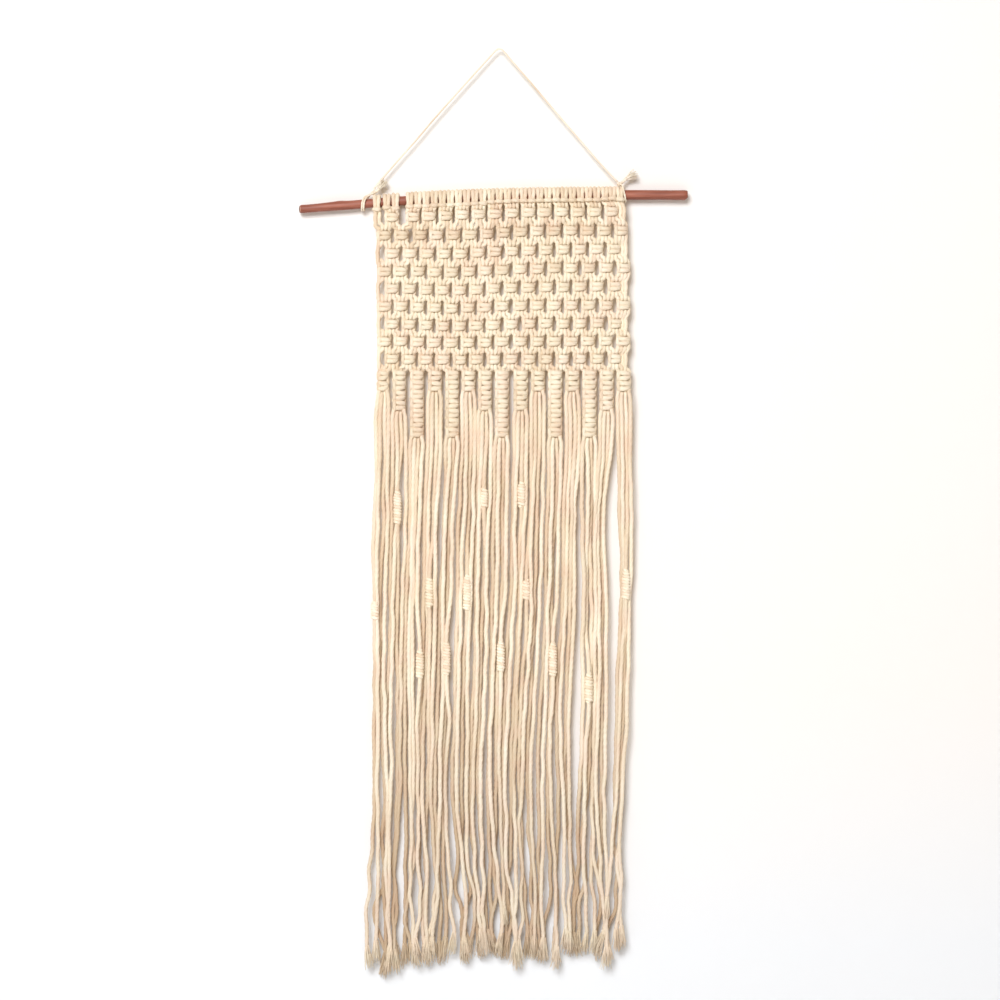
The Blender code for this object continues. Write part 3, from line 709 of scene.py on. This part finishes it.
def strandKeys(i):
    # one strand from the front bar of its lark's head to its tip, top to bottom
    head, side = divmod(i, 2)
    keys = headKeys(head, 1 if side else -1)
    for row in range(1, net["rows"] + 1):
        before = len(keys)
        shift = 2 if row % 2 else 0
        group, role = divmod(i - shift, 4)
        if row % 2 and not 0 <= group < net["columns"] - 1:
            keys += idleKeys(i, row)
            continue
        column = group + (0.5 if row % 2 else 0.0)
        dice = random.Random(1000 * row + group)
        aside, offset, tilt = net["uneven"]
        x = columnX(column, row) + dice.uniform(-aside, aside) + net["edge"] * (column == 0)
        z = rowZ(column, row) + dice.uniform(-offset, offset)
        turn = math.radians(net["turn"] + dice.uniform(-tilt, tilt))
        height = net["knotHeight"] * dice.uniform(*net["heights"])
        keys.append(shoulderKey(role, x, planeY(z), z, turn, True))
        keys += knotKeys(role, x, planeY(z), z + height / 2, 2, height / 2, net["spread"], turn)
        keys.append(shoulderKey(role, x, planeY(z), z, turn, False))
        if row > 1:
            keys.insert(before, crossing(keys[before - 1], keys[before], role))
    group, role = divmod(i, 4)
    before = len(keys)
    dice = random.Random(77 + group)
    x = columnX(group, net["rows"] + 1) + sinnets["slid"][group] * mm
    turn = math.radians(sinnets["turns"][group] + dice.uniform(-sinnets["tilt"], sinnets["tilt"]))
    halves = 2 * sinnets["knots"][group]
    bottom = sinnets["bottom"][sinnets["knots"][group]]
    tall = (sinnets["top"] - bottom) / halves
    narrow = sinnets["narrow"] if group == 0 else 1.0
    spread = tuple(wide * narrow for wide in sinnets["spread"])
    keys += knotKeys(role, x, net["y"], sinnets["top"], halves, tall, spread, turn, sinnets["full"])
    keys.insert(before, crossing(keys[before - 1], keys[before], role))
    slack = dice.uniform(*rope["slackVaries"]) * rope["slack"] / 2
    for across, back, drop, wide in underSinnet[role]:
        keys.append((x + across * mm * (0.4 + 0.6 * narrow), net["y"] + back * mm, bottom - drop * mm, wide * mm,
                     rope["knotStep"]))
    tipZ = fringeGroups[group][1][fringe["order"][(group * 3) % 5][role]][1] * mm
    tipZ += fray["length"] * fray["past"]
    z = bottom - fringe["startBelow"]
    count = max(2, round((z - tipZ) / fringe["keyEvery"]))
    for k in range(count + 1):
        low = z + (tipZ - z) * k / count
        slim = 1 + (rope["foot"] - 1) * blendIn(-low, 0.85, 1.05)
        if k == count:     # the cut end is hidden in its own tuft
            slim *= rope["cutEnd"]
        keys.append((*strandPlace(i, low), low, slack * slim, rope["slackStep"]))
    return keys


def crossing(above, below, role):
    # half way between two rows the ropes lie in touching pairs and dip back
    share, fall = net["crossings"][role in (1, 2)]
    return (above[0] * share + below[0] * (1 - share), (above[1] + below[1]) / 2 + net["crossBack"],
            above[2] + (below[2] - above[2]) * fall, rope["thick"] * 0.53, rope["knotStep"])


# Where the two outermost strands of each side pass an odd row without a knot: x and how far back.
idle = {
    "first": {0: (-0.1558, -0.0006), 1: (-0.1508, 0.0006), 58: (0.1506, 0.0010), 59: (0.1550, -0.0008)},
    "later": {0: (-0.1530, -0.0016), 1: (-0.1527, 0.0024), 58: (0.1533, 0.0010), 59: (0.1573, -0.0008)},
    "pulledIn": {1: 0.0, 3: 0.0, 5: 0.0004, 7: 0.0012, 9: 0.0016},     # the left ones, row by row
    "reach": 0.0062, "bow": 0.0006,
}


def idleKeys(i, row):
    left = i < 2
    z = rowZ(0 if left else net["columns"] - 1, row)
    x, back = idle["first" if row == 1 else "later"][i]
    x += idle["pulledIn"][row] * left
    bow = idle["bow"] if left else -idle["bow"]
    return [(x + bow * (below != 0), planeY(z) + back, z - below, rope["thick"] * 0.49, rope["knotStep"])
            for below in (-idle["reach"], 0, idle["reach"])]


def makeRopes():
    total = 0
    tips = []
    for head in range(heading["ropes"]):
        left, right = strandKeys(2 * head), strandKeys(2 * head + 1)
        line = smoothLine(left[::-1] + right[1:])
        total += lengthOf(line)
        tips += [(line[0], line[0] - line[3]), (line[-1], line[-1] - line[-4])]
        made = sweep(f"rope{head + 1:02d}", [line], "rope", rope["lay"], ropeCotton)
        place(made, "cotton_rope", f"larks_head_{head + 1:02d}")
        if head == 0:
            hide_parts("knotted_net", "fringe", *[f"sinnet_{k:02d}" for k in range(1, 16)])
    print("ropes", round(total, 2), "m")
    return tips


ropeTips = makeRopes()


def makeCoilKnots():
    lines = []
    for strand, coilX, top, bottom in coilKnots:
        turns = (top - bottom) * mm / coils["turn"]
        keys = []
        for k in range(round(turns * 10) + 1):
            share = k / round(turns * 10)
            z = (top + (bottom - top) * share) * mm
            x, y = strandPlace(strand, z)
            swell = min(1.0, 0.35 + 3.4 * share, 0.5 + 7 * (1 - share))     # slimmer where it starts and ends
            angle = math.tau * share * turns + strand + coils["uneven"] * wander(strand + 70, z, 75)
            reach = coils["round"] * swell
            keys.append((x + reach * math.cos(angle), y + reach * math.sin(angle), z,
                         coils["thick"] / 2, coils["step"]))
        lines.append(smoothLine(keys))
    made = sweep("coilKnots", lines, "rope", rope["lay"], coilCotton)
    place(made, "cotton_rope")
    print("coil knots", len(lines), "with", round(sum(lengthOf(line) for line in lines), 2), "m of rope")


makeCoilKnots()


# ---- frayed ends

def fibreLines(start, direction, count, length, reach, thick, splay, seed):
    dice = random.Random(seed)
    direction = Vector(direction).normalized()
    side = direction.orthogonal().normalized()
    found = []
    for n in range(count):
        turn = Matrix.Rotation(dice.uniform(0, math.tau), 3, direction)
        out = turn @ side
        off = reach * math.sqrt(dice.random())
        point = Vector(start) + out * off
        along = (direction + out * splay * (off / reach) * dice.uniform(0.2, 1.3)).normalized()
        curl = Vector((dice.uniform(-1, 1), dice.uniform(-1, 1), dice.uniform(-1, 0.3))) * fray["curl"]
        size = length * dice.uniform(0.6, 1.0)
        points = [point + along * size * t + curl * size * t * t for t in (0, 0.25, 0.5, 0.75, 1.0)]
        found.append(np.array([(*p, thick * (1 - 0.55 * k / 4)) for k, p in enumerate(points)]))
    return found


def makeFrayedTips():
    lines = []
    for n, (tip, ahead) in enumerate(ropeTips):
        start = Vector(tip[:3]) - Vector(ahead[:3]).normalized() * fray["above"]
        lines += fibreLines(start, ahead[:3], fray["fibres"], fray["length"], rope["thick"] * 0.5,
                            fray["thick"], fray["splay"], n)
    place(sweep("frayedTips", lines, "fibre", 1.0, litLooseCotton), "cotton_rope")
    print("frayed tips", len(lines), "fibres")


makeFrayedTips()


# ---- ties at the two ends of the hanging cord
tie = {
    "twine": 0.0024, "turnsApart": 0.0024, "step": 0.0015,
    "wraps": ((0.2, 1.9), (1.3, 1.7), (2.4, 1.8)),     # the knot's own turns: tilt, and size in millimetres
    "fibres": 72, "tuftLong": 0.0150, "tuftWide": 0.0024, "fibreThick": 0.00048, "splay": 0.40,
}
tieLoops = {
    # x, y, z in millimetres: from the knot down in front of the rod and up behind it
    "Left": [(-158.6, -0.8, -178.6), (-161.2, -1.8, -180.6), (-164.4, -4.2, -182.4), (-167.6, -7.0, -184.8),
             (-170.2, -8.0, -189.6), (-171.4, -5.6, -198.2), (-171.2, 0.0, -200.7), (-170.6, 5.8, -197.7),
             (-169.4, 7.9, -191.6), (-167.6, 6.0, -186.0), (-163.6, 2.0, -181.6), (-159.2, 0.4, -179.2)],
    "Right": [(149.0, -0.4, -167.6), (151.6, -3.0, -168.6), (153.2, -6.6, -171.2), (154.2, -8.3, -176.4),
              (155.4, -8.5, -181.6), (156.4, -6.4, -187.2), (156.8, 0.0, -190.0), (156.8, 5.8, -187.2),
              (156.4, 8.2, -181.4), (155.4, 6.4, -174.6), (153.0, 2.4, -169.4), (149.6, 0.6, -168.0)],
}
tieTails = {
    # x, y, z and half width in millimetres, from the knot to the frayed tip
    "Left": [(-158.6, -0.8, -178.6, 1.3), (-155.4, -2.0, -177.8, 1.7), (-151.6, -1.6, -174.2, 2.0),
             (-147.8, -1.0, -169.0, 2.3)],
    "Right": [(149.0, -0.4, -167.6, 1.3), (153.2, -0.6, -165.4, 1.8), (157.8, -0.4, -161.0, 2.3),
              (163.4, 0.4, -157.9, 2.5)],
}


def makeTie(end):
    lines = []
    for n in range(2 if end == "Left" else 1):     # two turns side by side on the left
        shift = (n - 0.5) * tie["turnsApart"] if end == "Left" else 0
        keys = []
        for k, (x, y, z) in enumerate(tieLoops[end]):
            apart = shift * min(1, k / 3, (len(tieLoops[end]) - 1 - k) / 2)
            keys.append((x * mm + apart, y * mm, z * mm, tie["twine"] / 2, tie["step"]))
        lines.append(smoothLine(keys))
    knot = Vector(tieLoops[end][0]) * mm
    for tilt, size in tie["wraps"]:
        keys = []
        for k in range(15):
            angle = math.tau * k / 12
            turn = Vector((size * math.cos(angle), size * math.sin(angle), (k - 7) * 0.14)) * mm
            keys.append((*(knot + Matrix.Rotation(tilt, 3, "Y") @ turn), tie["twine"] / 2, tie["step"]))
        lines.append(smoothLine(keys))
    tail = [(x * mm, y * mm, z * mm, wide * mm, tie["step"]) for x, y, z, wide in tieTails[end]]
    lines.append(smoothLine(tail))
    endX, endZ = cordRoute[0 if end == "Left" else -1]     # the cord's own last stretch into the knot
    lines.append(smoothLine([(endX * mm, 0.0, endZ * mm, tie["twine"] / 2, tie["step"]),
                             (*knot, tie["twine"] / 2, tie["step"])]))
    made = place(sweep("tie" + end, lines, "twine", hangingCord["lay"], twineCotton),
                 "cotton_twine", "tie_" + end.lower())
    last, before = Vector(tail[-1][:3]), Vector(tail[-2][:3])
    lines = fibreLines(before.lerp(last, 0.10), last - before, tie["fibres"], tie["tuftLong"], tie["tuftWide"],
                       tie["fibreThick"], tie["splay"], 500)
    place(sweep("tieTail" + end, lines, "fibre", 1.0, litTuftCotton), "cotton_twine")
    print("tie", end)


makeTie("Left")
makeTie("Right")


# ---- wall, floor and light
room = {
    "wallY": 0.0114, "floorZ": -1.42, "wallSize": 3.2, "floorSize": 3.0,
    # painted light: the wall is painted a little warmer higher up, for the warm light the cotton bounces into its
    # shadows, and cooler low down
    "white": (0.83, 0.848, 0.862), "cream": (0.87, 0.843, 0.808), "warmLightFrom": -1.12, "warmLightTo": -0.80,
    "air": (1.0, 0.76, 0.52), "airStrength": 0.25,
}
lights = {
    # place, aim, size, power, colour
    "key": ((-0.9, -3.9, 1.2), (0, 0, -0.5), 2.0, 184, (0.955, 0.985, 1.035)),
    "back": ((0.4, 2.4, 0.3), (0, 0, -0.6), 1.6, 12, (1.0, 0.74, 0.45)),
}


def makeRoom():
    made, nodes, links, shader = newMaterial("white wall", 0.95)
    shader.inputs["Specular IOR Level"].default_value = 0.1
    where = nodes.new("ShaderNodeTexCoord").outputs["Object"]
    # painted light: warm bounce light painted onto the wall above its foot
    height = mapped(nodes, links, axes(nodes, links, where)["Z"], room["warmLightFrom"], room["warmLightTo"])
    tones = ramp(nodes, links, height, [(0.0, room["white"]), (1.0, room["cream"])])
    links.new(tones, shader.inputs["Base Color"])
    clear = nodes.new("ShaderNodeBsdfTransparent")     # the wall is open from behind
    side = nodes.new("ShaderNodeNewGeometry")
    mix = nodes.new("ShaderNodeMixShader")
    links.new(side.outputs["Backfacing"], mix.inputs[0])
    links.new(shader.outputs[0], mix.inputs[1])
    links.new(clear.outputs[0], mix.inputs[2])
    links.new(mix.outputs[0], nodes["Material Output"].inputs["Surface"])
    upright = Matrix.Rotation(math.radians(90), 4, "X")
    for name, size, matrix in (
        ("wall", room["wallSize"], Matrix.Translation((0, room["wallY"], -0.4)) @ upright),
        ("floor", room["floorSize"], Matrix.Translation((0, -1.0, room["floorZ"]))),
    ):
        work = bmesh.new()
        bmesh.ops.create_grid(work, x_segments=1, y_segments=1, size=size, matrix=matrix)
        mesh = bpy.data.meshes.new(name)
        work.to_mesh(mesh)
        work.free()
        mesh.materials.append(made)
        panel = bpy.data.objects.new(name, mesh)
        scene.collection.objects.link(panel)
        panel.visible_shadow = False
        panel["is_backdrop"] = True


def makeLights():
    for name, (spot, aim, size, power, colour) in lights.items():
        data = bpy.data.lights.new(name, "AREA")
        data.shape = "DISK"
        data.size = size
        data.energy = power
        data.color = colour
        made = bpy.data.objects.new(name, data)
        made.location = spot
        made.visible_camera = False
        made.rotation_euler = (Vector(aim) - Vector(spot)).to_track_quat("-Z", "Y").to_euler()
        scene.collection.objects.link(made)
    world = bpy.data.worlds.new("world")
    scene.world = world
    world.use_nodes = True
    air = world.node_tree.nodes["Background"]
    air.inputs["Color"].default_value = (*room["air"], 1)
    air.inputs["Strength"].default_value = room["airStrength"]
    scene.view_settings.view_transform = "Standard"


makeRoom()
makeLights()
for profile in profiles.values():
    bpy.data.objects.remove(profile)
print("room and lights")

triangles = sum(sum(len(p.vertices) - 2 for p in o.data.polygons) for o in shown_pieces() if o.type == "MESH")
print("triangles", triangles)
